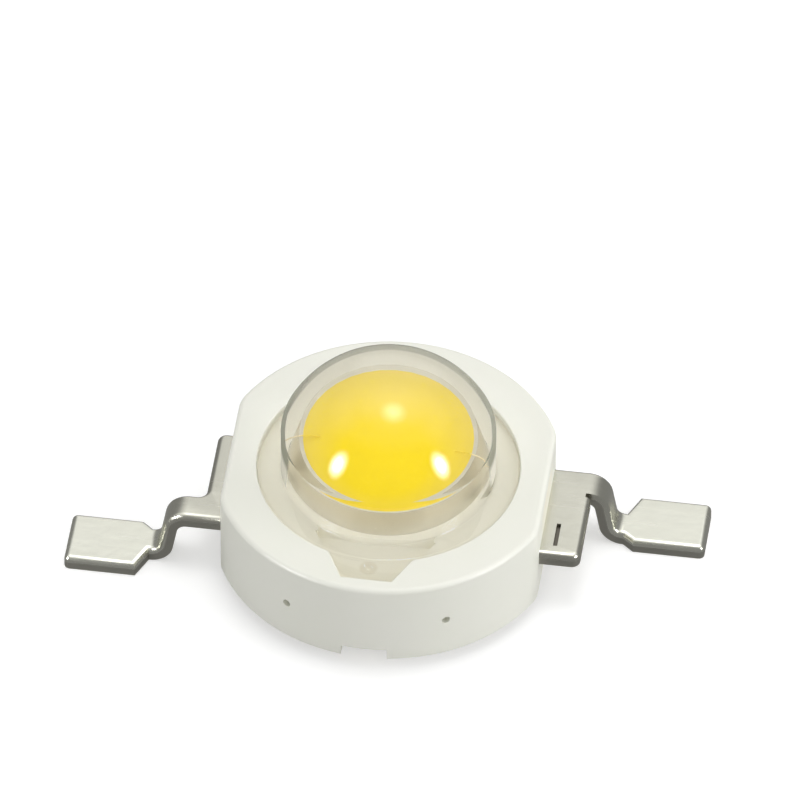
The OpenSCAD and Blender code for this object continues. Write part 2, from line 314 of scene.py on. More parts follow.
soft_box("left_box", (-0.772, -0.476, 0.421), 22, 34, 46, core=0.12, fill=False)
soft_box("right_box", (0.792, -0.462, 0.398), 22, 34, 46, core=0.12, fill=False)
soft_box("overhead_box", (0.073, 0.090, 0.993), 26, 26, 9, core=0.0)
soft_box("overhead_sheet", (0.06, 0.20, 0.978), 60, 60, 1.4, core=0.1)
soft_box("right_fill", (0.945, -0.25, 0.20), 50, 50, 3.8, gloss=False, through=False)
soft_box("left_fill", (-0.93, -0.34, 0.16), 50, 50, 1.3, gloss=False)
print("the lamps stand", LAMP_DISTANCE / MM, "mm from the part")

# %% [markdown]
# The floor is plain paper, a hair below the part so that the two never share a face. It has its
# own faint glow for the rays that show it, which lifts it to the white of the page and leaves the
# part's shadow on it. Its light on the part is only what it gets from the lamps.

# %% Floor
FLOOR_R, FLOOR_DROP, FLOOR_GLOW = 2.0, 0.002, 0.45


def formed(name, bm, finish):
    """Makes a shape an object with one finish and smooth shading."""
    mesh = bpy.data.meshes.new(name)
    bm.to_mesh(mesh)
    bm.free()
    mesh.materials.append(finish.owner)
    for polygon in mesh.polygons:
        polygon.use_smooth = True
    return linked(name, mesh)


def staged(name, bm, finish):
    """Puts a shape on the stage: it is rendered, but isn't part of the object."""
    obj = formed(name, bm, finish)
    return obj


def everything(bm):
    return bm.verts[:] + bm.edges[:] + bm.faces[:]


paper = Finish("paper")
paper.set(Base_Color=(0.7, 0.7, 0.7), Roughness=0.9, Specular_IOR_Level=0.0)
paper.glow(shown(paper) * FLOOR_GLOW)
bm = bmesh.new()
bmesh.ops.create_circle(bm, cap_ends=True, segments=64, radius=FLOOR_R)
bmesh.ops.translate(bm, verts=bm.verts, vec=(0, 0, -FLOOR_DROP * MM))
floor = staged("floor", bm, paper)
print("floor", floor.dimensions.x, "m across")

# %% [markdown]
# A grey bowl stands over the part, seen in gloss only. A room that is bright all round would leave
# a plated strip without form: the bowl's dark floor draws the cut faces of the leads, and its
# wall, which fades to white as it rises, shades their bends. In front it stays dark further up
# than at the sides, as round a camera, because there the dome of the real part looks deepest.
# Straight behind it is bright from the floor up, which keeps the back edges of the leads pale.

# %% Bowl
BOWL_R, BOWL_DROP, BOWL_SHADE = 0.5, 0.001, 0.26
FADE_START, FADE_END = 0.46 * BOWL_R, 0.8 * BOWL_R
FRONT_SLANT, BACK_LIFT = 0.5, 0.27
felt = Finish("felt")
spot = felt.node("ShaderNodeTexCoord", out="Object")
rise = felt.node("ShaderNodeSeparateXYZ", None, {0: spot}, "Z")
depth = felt.node("ShaderNodeSeparateXYZ", None, {0: spot}, "Y")
in_front = felt.node("ShaderNodeMath", {"operation": "MINIMUM"}, {0: depth, 1: 0.0})
far_back = felt.ramp(depth, 0.72 * BOWL_R, 0.95 * BOWL_R)
felt.set(Base_Color=(0, 0, 0), Specular_IOR_Level=0.0)
felt.glow(felt.ramp(rise + in_front * FRONT_SLANT + far_back * BACK_LIFT, FADE_START, FADE_END,
                    "SMOOTHSTEP", BOWL_SHADE))
bm = bmesh.new()
bmesh.ops.create_uvsphere(bm, u_segments=64, v_segments=32, radius=BOWL_R)
bmesh.ops.bisect_plane(bm, geom=everything(bm), plane_co=(0, 0, -BOWL_DROP * MM),
                       plane_no=(0, 0, 1), clear_inner=True)
bmesh.ops.holes_fill(bm, edges=[e for e in bm.edges if e.is_boundary])
bowl = staged("bowl", bm, felt)
bowl.visible_camera = bowl.visible_diffuse = False
bowl.visible_transmission = bowl.visible_shadow = False
print("bowl", bowl.dimensions.x, "m across")

# %% [markdown]
# The body is white reflective plastic with the look of a spark-eroded mould: faintly warm, with a
# fine even grain that breaks its gloss, and hardly noticeable flow marks. Noise in object
# coordinates gives them, each at its own number of patches to the millimetre. Under the gel, in
# the recess and the ports, the plastic is painted warmer and paler: a painted light, standing in
# for the yellow light that the phosphor throws into the gel.

# %% Moulded plastic
moulded = Finish("moulded_plastic")
# Painted light: warmer, paler plastic under the gel, in the recess and the ports.
under_gel_painted_light = (moulded.ramp(moulded.height(), gel_z - 0.15, gel_z - 0.29)
          * moulded.ramp(moulded.across(), port_out_y + 0.18, port_out_y + 0.08))
dry = moulded.blend(moulded.noise(0.9), (0.86, 0.87, 0.775), (0.885, 0.88, 0.81))
grain, flow = moulded.noise(26.0, 3.0), moulded.noise(1.4, 1.0)
moulded.set(Base_Color=moulded.blend(under_gel_painted_light, dry, (0.93, 0.90, 0.77)),
            Roughness=moulded.noise(1.6, 3.0, (1, 1, 0.4)) * 0.2 + 0.32,
            Normal=moulded.bump(grain, 0.0016, moulded.bump(flow, 0.012)))
print("moulded plastic is ready")

# %% [markdown]
# The leads are punched from plated strip. The rolls leave faint lines along the strip, which also
# run round the bends, so they are drawn on the flat blank's own coordinates, kept as a UV map.
# A punched edge has two zones: the punch first shears the metal, which shines, and then breaks
# it, which leaves a dull dark band along the lower side. The band follows the height in the
# strip, kept as an attribute, which is -1 on the floor of the groove. There the colour is a painted
# shade, as dark as a narrow groove looks. Next to the body the plating is darker and warmer, fitted
# to how the real plating looks there. Inside the body the strip is painted pale and not metal, a
# choice of the scene: a painted light that lifts the shade of the deep windows, because bare metal
# there shows through the dome as a dark hook, which the real part doesn't have.

# %% Plated strip
plated = Finish("plated_strip")
flat = plated.node("ShaderNodeUVMap", {"uv_map": "strip"})
drawn_out = plated.node("ShaderNodeVectorMath", {"operation": "MULTIPLY"},
                        {0: flat, 1: (0.5, 8, 1)})
lines = plated.node("ShaderNodeTexNoise", {"noise_dimensions": "2D"},
                    {"Vector": drawn_out, "Scale": 1.0, "Detail": 3.0})
out = plated.node("ShaderNodeSeparateXYZ", None, {0: flat}, "X")
height = plated.node("ShaderNodeAttribute", {"attribute_name": "height"}, out="Fac")
ragged = height + plated.noise(9.0, 3.0) * 0.12 - 0.06
broken = plated.ramp(ragged, 0.62, 0.54) * plated.ramp(height, 0.005, 0.05)
# Darker and warmer next to the body.
darker_near_body = plated.ramp(out, 5.6, 4.3) * 0.8
# Painted shade on the floor of the groove.
groove_floor_painted_dark = plated.ramp(height, -0.2, -0.8)
# Painted light: pale and not metal inside the body.
inside_body_painted_light = plated.ramp(out, 3.4, 3.2)
clean = plated.blend(plated.noise(1.3), (0.70, 0.70, 0.61), (0.75, 0.75, 0.665))
faced = plated.blend(darker_near_body, clean, (0.56, 0.55, 0.475))
cut = plated.blend(broken, faced, (0.42, 0.41, 0.36))
bare = plated.blend(groove_floor_painted_dark, cut, (0.13, 0.12, 0.10))
plated.set(Base_Color=plated.blend(inside_body_painted_light, bare, (0.93, 0.90, 0.80)), Metallic=1 - inside_body_painted_light,
           Roughness=lines * 0.08 + broken * 0.2 + 0.22,
           Normal=plated.bump(lines, 0.0006, plated.bump(plated.noise(2.2), 0.006)))
print("plated strip is ready")

# %% [markdown]
# The slug is turned from copper bar and plated with silver. The tool leaves fine rings round the
# middle, waves of the distance from it. Under the dome the wall is painted warmer higher up: a
# painted light, standing in for the light that the phosphor tints, so the colour changes slowly
# with height. The rim of the cup looks dull, perhaps under a thin film, so it is given a coat that
# isn't metal.

# %% Slug plating
RING_WAVES = 70
turned = Finish("slug_plating")
rings = turned.node("ShaderNodeMath", {"operation": "SINE"},
                    {0: turned.across() * RING_WAVES}) * 0.5 + 0.5
silver = turned.blend(turned.noise(1.2), (0.78, 0.76, 0.70), (0.84, 0.82, 0.77))
# Painted light: warmer towards the cup, as if tinted by the phosphor.
phosphor_tinted_painted_light = turned.blend(turned.ramp(turned.height(), 2.0, 2.7), silver, (0.82, 0.76, 0.62))
film = turned.ramp(turned.height(), rim_z - 0.015, rim_z - 0.005)
turned.set(Base_Color=turned.blend(film, phosphor_tinted_painted_light, (0.62, 0.58, 0.46)),
           Metallic=1 - film, Roughness=turned.noise(2.5) * 0.15 + 0.38,
           Normal=turned.bump(rings, 0.0008, turned.bump(turned.noise(16.0), 0.0015)))
print("slug plating is ready")

# %% [markdown]
# The phosphor is a ceramic powder in silicone. It is matt and saturated yellow, with a fine grain
# and a few lighter specks where grains have gathered. It makes little gloss, because the gel that
# lies on it bends light just as its own silicone does. The real drop looks deepest in colour a
# little in front of its middle, and paler towards its back and sides, where the dome reflects the
# white room over it. Why isn't known, and the solid is the same all round. The paleness is
# therefore a painted reflection, a gradient of the colour itself, fitted to how the part looks
# from the front.

# %% Phosphor
DEEPEST_OUT = 0.5
yellow = Finish("phosphor_silicone")
specks = yellow.ramp(yellow.noise(14.0, 3.0), 0.55, 0.8)
deepest = yellow.blend(yellow.noise(2.0), (0.81, 0.60, 0.004), (0.84, 0.62, 0.007))
from_deepest = yellow.distance(yellow.place(), (0, -DEEPEST_OUT, crown_z))
# Painted reflection: paler towards the back and sides of the drop.
painted_reflection_veil = yellow.blend(yellow.ramp(from_deepest, 0.8, 2.0), deepest, (0.82, 0.64, 0.145))
yellow.set(Base_Color=yellow.blend(specks * 0.5, painted_reflection_veil, (0.86, 0.66, 0.02)),
           Roughness=yellow.noise(5.0) * 0.2 + 0.45, Specular_IOR_Level=0.15,
           Normal=yellow.bump(yellow.noise(30.0, 3.0), 0.002))
print("phosphor is ready")

# %% [markdown]
# The lens and the gel under it bend light alike, so together they act as one clear body, and their
# common faces vanish. They are therefore one piece with one finish: full transmission, the
# refractive index of clear silicone, and next to no roughness. The real dome shows a dark line
# along its outline. Bent light alone doesn't give it here, so it is a painted shade: Layer Weight
# finds where the dome turns away from the eye, from any side, greys the clear plastic there and
# brings in a second, plain grey shader. How wide and strong this painted rim is, and how far down
# it reaches, is set by height to follow the real part: on the upright collar it is narrower, and
# half way down it turns to the colour of the body.
# A brownish trace, as in the real part, marks the dimple in front.

# %% Clear plastic
CREASE_Z = 3.7
NEEDLE_OUT = 0.2
needle_y = -recess_r - NEEDLE_OUT
clear = Finish("clear_plastic")
facing = clear.node("ShaderNodeLayerWeight", None, {"Blend": 0.5}, "Facing")
level = clear.height()
near_crease = (clear.ramp(level, CREASE_Z + 0.3, CREASE_Z) * 0.21
               - clear.ramp(level, CREASE_Z + 0.02, CREASE_Z - 0.04) * 0.23)
turned_away = (clear.ramp(facing + near_crease, 0.67, 0.71)
               * clear.ramp(level, gel_z + 0.005, gel_z + 0.02))
# Above this height the painted shade of the rim is dark; lower down it takes the body's colour.
painted_rim_darker_above = clear.ramp(level, 3.1, 3.35)
from_needle = clear.distance(clear.place(), (0, needle_y, top_z))
tint = clear.blend(clear.ramp(from_needle, 0.24, 0.1), (0.985, 0.99, 0.98), (0.66, 0.59, 0.45))
# The clear plastic is greyed where the dome turns away from the eye: painted shade.
clear.set(Base_Color=clear.blend(turned_away * painted_rim_darker_above, tint, (0.8, 0.8, 0.76)),
          Transmission_Weight=1.0, IOR=1.45, Roughness=clear.noise(4.0) * 0.01 + 0.012)
# Plain grey shader that paints the shade along the dome's outline.
painted_rim_shader = clear.node("ShaderNodeBsdfPrincipled", None, {
    "Base Color": clear.blend(painted_rim_darker_above, (0.78, 0.76, 0.67), (0.30, 0.31, 0.25)),
    "Roughness": 0.5, "Specular IOR Level": 0.0}, "BSDF")
painted_rim_cover = turned_away * (clear.ramp(level, CREASE_Z + 0.9, CREASE_Z + 0.1) * 0.45 + 0.35)
glass = Wire(clear, clear.shader.outputs["BSDF"])
mixed = clear.node("ShaderNodeMixShader", None, {0: painted_rim_cover, 1: glass, 2: painted_rim_shader})
surface = next(n for n in clear.tree.nodes if n.type == "OUTPUT_MATERIAL").inputs["Surface"]
clear.plug(surface, mixed)
print("clear plastic is ready")

# %% [markdown]
# The chip, the paste that bonds it and the gold wires are buried in phosphor and gel. They are
# small, but a reader who lifts the dome off finds them finished too. Over the cup the wires are
# coated in the yellow of the phosphor. This is a choice of the scene: bare gold shows there more
# plainly than in the real part, where no wire can be made out.

# %% Chip, paste and gold
chip = Finish("chip")
chip.set(Base_Color=chip.blend(chip.noise(3.0), (0.20, 0.28, 0.42), (0.26, 0.33, 0.46)),
         Roughness=chip.noise(8.0) * 0.1 + 0.2)
paste = Finish("silver_paste")
paste.set(Base_Color=paste.blend(paste.noise(12.0), (0.5, 0.5, 0.48), (0.66, 0.66, 0.64)),
          Roughness=paste.noise(14.0) * 0.2 + 0.4)
gold = Finish("gold_wire")
coated = gold.ramp(gold.across(), cup_r + 0.1, cup_r)
bare = gold.blend(gold.noise(10.0), (0.84, 0.74, 0.50), (0.88, 0.78, 0.55))
gold.set(Base_Color=gold.blend(coated, bare, (0.86, 0.66, 0.08)), Metallic=1 - coated,
         Roughness=gold.noise(20.0) * 0.1 + 0.45, Specular_IOR_Level=0.15)
print("chip, paste and gold are ready")

# %% [markdown]
# Not every solid needs a new shape. Slug, chip, paste, wires and phosphor keep the CAD model's own
# mesh and only get a finish in its material slot. The body, the leads and the lens are seen so
# close that they are formed again below, with the soft edges of the real ones.

# %% Finish of the CAD solids
finish_of = {"housing": moulded, "heat_slug": turned, "anode_lead": plated, "cathode_lead": plated,
             "led_die": chip, "die_attach": paste, "bond_wire_anode": gold,
             "bond_wire_cathode": gold, "phosphor": yellow, "silicone_fill": clear, "lens": clear}
for name, finish in finish_of.items():
    nodes[name].data.materials.clear()
    nodes[name].data.materials.append(finish.owner)
print("finished", len(finish_of), "solids")

# %% [markdown]
# A new piece is drawn in millimetres as a bmesh, and this helper makes it a piece of the part: it
# is scaled to metres, rides on the part, and hides the solids that it stands for. Shading is evened
# out with weighted normals, so that a large flat face stays flat right up to its rounded edge.

# %% Pieces from shapes drawn in millimetres
SHARP_ANGLE = math.radians(35)


def finished_piece(bm, name, finish, slot, *stands_for):
    """Makes a shape drawn in millimetres a piece of the part."""
    bm.transform(Matrix.Scale(MM, 4))
    piece = formed(name, bm, finish)
    piece.data.set_sharp_from_angle(angle=SHARP_ANGLE)
    even = piece.modifiers.new("even_shading", "WEIGHTED_NORMAL")
    even.keep_sharp = True
    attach(piece, "root")
    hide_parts(*stands_for)
    print(name, "has", len(piece.data.polygons), "faces")


print("pieces can be finished")

# %% [markdown]
# Two kinds of closed shape are enough for this part. A round one is a half section turned about
# the upright axis, as on a lathe. A straight one is an outline pulled up to its thickness, of
# which a plain box is the simplest case.

# %% Closed shapes
def revolved(profile, steps=160):
    """Turns a half section, points of radius and height, into a closed solid."""
    bm = bmesh.new()
    points = [bm.verts.new((r, 0, z)) for r, z in profile]
    lines = [bm.edges.new(pair) for pair in zip(points, points[1:])]
    bmesh.ops.spin(bm, geom=points + lines, axis=(0, 0, 1), cent=(0, 0, 0), angle=2 * math.pi,
                   steps=steps, use_merge=True)
    bmesh.ops.remove_doubles(bm, verts=bm.verts, dist=1e-4)
    bmesh.ops.recalc_face_normals(bm, faces=bm.faces)
    return bm


def thicken(bm, thickness):
    """Pulls a flat face up into a closed solid."""
    grown = bmesh.ops.extrude_face_region(bm, geom=bm.faces[:])["geom"]
    bmesh.ops.translate(bm, verts=[v for v in grown if isinstance(v, bmesh.types.BMVert)],
                        vec=(0, 0, thickness))
    bmesh.ops.recalc_face_normals(bm, faces=bm.faces)


def prism(outline, low, high):
    """Stands an outline, points of x and y, up from one height to another."""
    bm = bmesh.new()
    bm.faces.new([bm.verts.new((x, y, low)) for x, y in outline])
    thicken(bm, high - low)
    return bm


def box(xs, ys, zs):
    """A plain box between two values on each axis, for cutting or filling."""
    (x0, x1), (y0, y1) = sorted(xs), sorted(ys)
    return prism([(x0, y0), (x1, y0), (x1, y1), (x0, y1)], *zs)


print("closed shapes are ready")

# %% [markdown]
# Edges are rounded by the bevel operator, which needs to be told which ones. They are found by
# where they lie: at one height, or on one ring of a turned shape. Two places closer together than
# a small tolerance count as the same.

# %% Rounded edges
TOUCH, NEAR = 1e-4, 1e-3


def soften(bm, edges, width, segments=3):
    """Rounds edges to a radius."""
    bmesh.ops.bevel(bm, geom=edges, offset=width, offset_type="OFFSET", affect="EDGES",
                    segments=segments, profile=0.5, material=-1, clamp_overlap=False)


def level_edges(bm, height):
    """The edges that lie at one height."""
    return [e for e in bm.edges if all(abs(v.co.z - height) < TOUCH for v in e.verts)]


def ring_edges(bm, radius, height):
    """The ring of edges at one corner of a revolved shape."""
    return [e for e in bm.edges if all(abs(v.co.xy.length - radius) < NEAR
                                       and abs(v.co.z - height) < NEAR for v in e.verts)]


print("edges can be rounded")

# %% [markdown]
# One shape is cut from another, or added to it, by Boolean modifiers. A modifier works on objects,
# so the shapes become rough objects for a moment. The result is read back into a bmesh, and the
# rough ones are removed.

# %% Cutting and adding
def combined(bm, others, operation):
    """The union with, or difference from, other shapes."""
    def as_object(shape):
        mesh = bpy.data.meshes.new("rough")
        shape.to_mesh(mesh)
        shape.free()
        return linked("rough", mesh)

    base = as_object(bm)
    tools = [as_object(other) for other in others]
    for tool in tools:
        modifier = base.modifiers.new("combine", "BOOLEAN")
        modifier.operation, modifier.solver, modifier.object = operation, "EXACT", tool
    result = bmesh.new()
    result.from_object(base, bpy.context.evaluated_depsgraph_get())
    for rough in [base, *tools]:
        bpy.data.meshes.remove(rough.data)
    return result


print("shapes can be cut and added")

# %% [markdown]
# What is hollow in the body is filled by the gel, so ports, windows and the slope between them
# are written once and used twice: to cut the body, and a little larger to fill the dome's piece.
# The ports are wedges that narrow outwards. The windows bare the inner ends of the leads for the
# wires. The front port is the one that is filled, so the floor of the recess slopes down into it.
# That slope is a prism along the other axis: it is stood up from its side view, and the matrix
# swaps its axes.

# %% Ports, windows and the slope
RIM_W, SLUG_GAP = 0.08, 0.2
boss_r = cup_r + RIM_W
lead_inner_r = boss_r + SLUG_GAP
HOLLOW_R = 2.25
PORT_IN_W, PORT_OUT_W, PORT_DEPTH, PORT_OVERLAP = 2.76, 1.16, 0.7, 0.2
port_in_y = HOLLOW_R - PORT_OVERLAP
WINDOW_W, WINDOW_OVERLAP = 0.6, 0.1
SLOPE_LEN, SLOPE_START, SLOPE_END = 0.32, 1.3, 0.05
SLOPE_OVER, SLOPE_UNDER, SLOPE_INSET = 0.3, 0.95, 0.05
SWAP_AXES = Matrix(((0, 0, 1, 0), (1, 0, 0, 0), (0, 1, 0, 0), (0, 0, 0, 1)))


def port(side, low, high, spread=0.0):
    """The shape of the front (-1) or the back (1) port, larger by a spread on its walls."""
    wide, narrow = PORT_IN_W / 2 + spread, PORT_OUT_W / 2 + spread
    inner, outer = side * (port_in_y - spread), side * (port_out_y + spread)
    return prism([(-wide, inner), (-narrow, outer), (narrow, outer), (wide, inner)], low, high)


def window(side, low, spread=0.0):
    """The left (-1) or the right (1) window, down to a height, larger by a spread on its walls."""
    y = WINDOW_W / 2 + spread
    return box((side * (lead_inner_r - spread), side * (HOLLOW_R + spread)), (-y, y),
               (low, seat_z + WINDOW_OVERLAP))


def slope(spread=0.0):
    """A wedge between the floor of the recess and that of the front port, larger by a spread."""
    fall = seat_z - top_z + PORT_DEPTH
    upper, lower = seat_z + SLOPE_OVER * fall - spread, seat_z - SLOPE_UNDER * fall - spread
    inner = -port_in_y - SLOPE_INSET
    outline = [(spread + SLOPE_START * SLOPE_LEN - port_in_y, upper),
               (spread + SLOPE_END * SLOPE_LEN - port_in_y, lower), (inner, lower), (inner, upper)]
    half = PORT_IN_W / 2 - SLOPE_INSET + spread
    bm = prism(outline, -half, half)
    bm.transform(SWAP_AXES)
    return bm


print(f"ports reach from {port_in_y:.2f} to {port_out_y:.2f} mm")

# %% [markdown]
# The body is a disc with two flats where the leads come out. Its outline is a circle cut by two
# planes. Beveling the four upright corners of the extruded disc first, then the whole upper
# outline, gives one even rounding that also runs along the flats, as in a real mould.

# %% Outside of the body
body = bmesh.new()
bmesh.ops.create_circle(body, cap_ends=True, segments=96, radius=housing_r)
bmesh.ops.translate(body, verts=body.verts, vec=(0, 0, housing_low.z))
for side in (-1, 1):
    bmesh.ops.bisect_plane(body, geom=everything(body), plane_co=(side * flat_x, 0, 0),
                           plane_no=(side, 0, 0), clear_outer=True)
thicken(body, top_z - housing_low.z)
corners = [e for e in body.edges if all(abs(abs(v.co.x) - flat_x) < TOUCH for v in e.verts)
           and abs(e.verts[0].co.z - e.verts[1].co.z) > 1]
soften(body, corners, 0.15, 4)
soften(body, level_edges(body, top_z), 0.12, 5)
soften(body, level_edges(body, housing_low.z), 0.04, 2)
print("the body's outside has", len(body.faces), "faces")

# %% [markdown]
# What is sunk in the body is cut with closed shapes: the recess for the lens with the hole for
# the slug, the ports, the windows and the slope, the slots of the leads, the index notch and two
# small round marks in the wall, probably those of pins in the mould. Each cutter runs past the
# face that it opens, so that no thin skin is left. The brims of what opens upwards are rounded
# last.

# %% Body
CUT = 1
SLUG_BASE_H = 0.9
NOTCH_W, NOTCH_H, NOTCH_IN = 1.06, 0.3, 0.45
PLATE_W, STRIP_T = 2.76, 0.34
PIN_MARK_R, PIN_MARK_DEPTH, PIN_MARK_DROP = 0.1, 0.25, 1.16
PIN_MARK_ANGLE = math.radians(27.3)
BRIM_R = 0.035


def pin_mark(side):
    """A short pin across the wall, left (-1) or right (1) of the front."""
    pin = bmesh.new()
    bmesh.ops.create_cone(pin, cap_ends=True, segments=24, radius1=PIN_MARK_R,
                          radius2=PIN_MARK_R, depth=2 * PIN_MARK_DEPTH)
    bmesh.ops.rotate(pin, verts=pin.verts, cent=(0, 0, 0),
                     matrix=Matrix.Rotation(math.pi / 2, 3, "X"))
    bmesh.ops.translate(pin, verts=pin.verts, vec=(0, -housing_r, top_z - PIN_MARK_DROP))
    bmesh.ops.rotate(pin, verts=pin.verts, cent=(0, 0, 0),
                     matrix=Matrix.Rotation(side * PIN_MARK_ANGLE, 3, "Z"))
    return pin


recess = revolved([(0, top_z + CUT), (recess_r, top_z + CUT), (recess_r, seat_z),
                   (boss_r, seat_z), (boss_r, SLUG_BASE_H), (slug_high.x, SLUG_BASE_H),
                   (slug_high.x, 0), (0, 0)])
notch = box((-NOTCH_W / 2, NOTCH_W / 2), (-housing_r - CUT / 2, NOTCH_IN - housing_r),
            (0, housing_low.z + NOTCH_H))
cutters = [recess, notch, slope()]
for side in (-1, 1):
    lead_slot = box((side * lead_inner_r, side * (housing_r + CUT)), (-PLATE_W / 2, PLATE_W / 2),
                    (lead_top_z - STRIP_T, lead_top_z))
    cutters += [port(side, top_z - PORT_DEPTH, top_z + CUT),
                window(side, lead_top_z - WINDOW_OVERLAP), lead_slot, pin_mark(side)]
body = combined(body, cutters, "DIFFERENCE")
brim = [e for e in level_edges(body, top_z) if e.calc_face_angle(0) > 1]
soften(body, brim, BRIM_R)
finished_piece(body, "body", moulded, "housing", "housing")

# %% [markdown]
# The dome is a cap on a straight collar on a flange, filled with gel that also fills the ports
# and the windows of the body. It is turned from its half section. Between flange and recess the
# gel sinks in a little, as a liquid does in a gap. Every face that touches another solid is
# buried in it a little, because two clear or shiny faces in exactly the same place flicker.

# %% Half section of the dome
CAP_R, COLLAR_R = 2.675, 2.46
BURIED = 0.02
GAP_SLANT, GAP_SINK = 0.015, 0.03
cap_z = lens_high.z - CAP_R
shoulder_z = cap_z + math.sqrt(CAP_R ** 2 - COLLAR_R ** 2)


def arc(radius, low_r, top, steps):
    """Half section of a cap, from its edge at low_r up to its top."""
    edge = math.asin(low_r / radius)
    angles = [edge * (1 - i / steps) for i in range(steps)]
    return [(radius * math.sin(a), top - radius * (1 - math.cos(a))) for a in angles] + [(0, top)]


crown = crown_z - rim_z
crown_r = (cup_r ** 2 + crown ** 2) / (2 * crown)
outside = arc(CAP_R, COLLAR_R, lens_high.z, 40)[::-1]
under = arc(crown_r, cup_r, crown_z - BURIED, 12)
gap_z, edge_r = gel_z - GAP_SINK, recess_r + BURIED
dome = revolved([
    *outside, (COLLAR_R, gel_z), (flange_r, gel_z), (flange_r + GAP_SLANT, gap_z),
    (recess_r - GAP_SLANT, gap_z), (edge_r, gel_z), (edge_r, seat_z - BURIED),
    (boss_r - BURIED, seat_z - BURIED), (boss_r - BURIED, rim_z - BURIED), *under])
print(f"the cap meets the collar at {shoulder_z:.2f} mm")

# %% [markdown]
# The creases at the top and the foot of the collar and the flange's edge are rounded while they
# are still plain rings. Then the gel of ports and windows is added. Last, a ball cuts the dimple
# in front, probably the mark of the filling needle.

# %% Clear dome
CREASE_R, FLANGE_EDGE_R = 0.06, 0.03
GEL_DROP = 0.005
DIMPLE_R, DIMPLE_RISE = 0.18, 0.3
for radius, height, width in ((COLLAR_R, shoulder_z, CREASE_R), (COLLAR_R, gel_z, CREASE_R),
                              (flange_r, gel_z, FLANGE_EDGE_R)):
    soften(dome, ring_edges(dome, radius, height), width)
gel = [slope(BURIED)]
for side in (-1, 1):
    gel += [port(side, top_z - PORT_DEPTH - BURIED, gel_z - GEL_DROP, BURIED),
            window(side, lead_top_z - BURIED, BURIED)]
dome = combined(dome, gel, "UNION")
dimple = bmesh.new()
bmesh.ops.create_uvsphere(dimple, u_segments=40, v_segments=20, radius=DIMPLE_R)
bmesh.ops.translate(dimple, verts=dimple.verts,
                    vec=(0, needle_y, gel_z + DIMPLE_RISE * DIMPLE_R))
dome = combined(dome, [dimple], "DIFFERENCE")
finished_piece(dome, "clear_dome", clear, "lens", "lens", "silicone_fill")

# %% [markdown]
# Each lead is punched flat from strip and then pressed into its step. It is made the same way, so
# the sizes of the flat blank come first. A bend uses up as much strip as its middle line is long,
# and the straight web between two equal bends follows from how high the lead has to rise.

# %% Sizes of the leads
NECK_W, NECK_RELIEF, BEND_R = 0.72, 0.12, 0.22
BEND_ANGLE = math.radians(80)
PAD_LEN, PAD_W, PAD_MID, PAD_SHOULDER = 1.9, 1.46, 1.19, 0.25
lead_rise = lead_top_z - STRIP_T
neck_low, neck_high = PLATE_W / 2 - NECK_W, PLATE_W / 2
relief_y = neck_low - NECK_RELIEF
bend_h = (2 * BEND_R + STRIP_T) * (1 - math.cos(BEND_ANGLE))
web = (lead_rise - bend_h) / math.sin(BEND_ANGLE)
bend_run = (2 * BEND_R + STRIP_T) * math.sin(BEND_ANGLE) + web * math.cos(BEND_ANGLE)
bend_x = lead_high.x - PAD_LEN - bend_run
bend_len = BEND_ANGLE * (BEND_R + STRIP_T / 2)
second_x = bend_x + bend_len + web
pad_x = second_x + bend_len
end_x = pad_x + PAD_LEN
print(f"blank of a lead reaches {end_x:.2f} mm out, the formed lead {lead_high.x:.2f} mm")

# %% [markdown]
# The blank is an outline from the inner end to the pad, pulled up to the strip's thickness. The
# longer plate of the anode reaches past the first bend, so a relief slot parts it from the neck.
# The punch rolls the upper edges over and leaves the lower ones sharp, and the corners of the
# pad's end are rounded with them. What lies inside the body, and the slot's own edges, stay plain.

# %% Blank of a lead
PLATE_CORNER_R, CORNER_SEGMENTS = 0.2, 6
ROLL_OVER, ROLL_SEGMENTS = 0.135, 6
INSIDE = 0.01


def round_corner(bm, x, y, radius):
    corner = [v for v in bm.verts if abs(v.co.x - x) < TOUCH and abs(v.co.y - y) < TOUCH]
    bmesh.ops.bevel(bm, geom=corner, offset=radius, offset_type="OFFSET", affect="VERTICES",
                    segments=CORNER_SEGMENTS, profile=0.5, material=-1)


def blank(plate_x):
    """The flat blank of a lead whose plate reaches out to plate_x."""
    low_y, high_y = PAD_MID - PAD_W / 2, PAD_MID + PAD_W / 2
    if plate_x > bend_x:
        inner = [(plate_x, relief_y), (bend_x, relief_y), (bend_x, neck_low)]
    else:
        inner = [(plate_x, neck_low)]
    outline = [(lead_inner_r, -PLATE_W / 2), (plate_x, -PLATE_W / 2), *inner, (pad_x, neck_low),
               (pad_x + PAD_SHOULDER, low_y), (end_x, low_y), (end_x, high_y),
               (pad_x + PAD_SHOULDER, high_y), (pad_x, neck_high), (lead_inner_r, neck_high)]
    bm = bmesh.new()
    bm.faces.new([bm.verts.new((x, y, lead_rise)) for x, y in outline])
    round_corner(bm, plate_x, -PLATE_W / 2, PLATE_CORNER_R)
    if plate_x < bend_x:
        round_corner(bm, plate_x, neck_low, PLATE_CORNER_R)
    thicken(bm, STRIP_T)
    return bm


def in_relief(v):
    """Whether a corner lies on the relief slot."""
    return abs(v.co.y - relief_y) < TOUCH or abs(v.co.x - bend_x) < TOUCH < neck_high - v.co.y


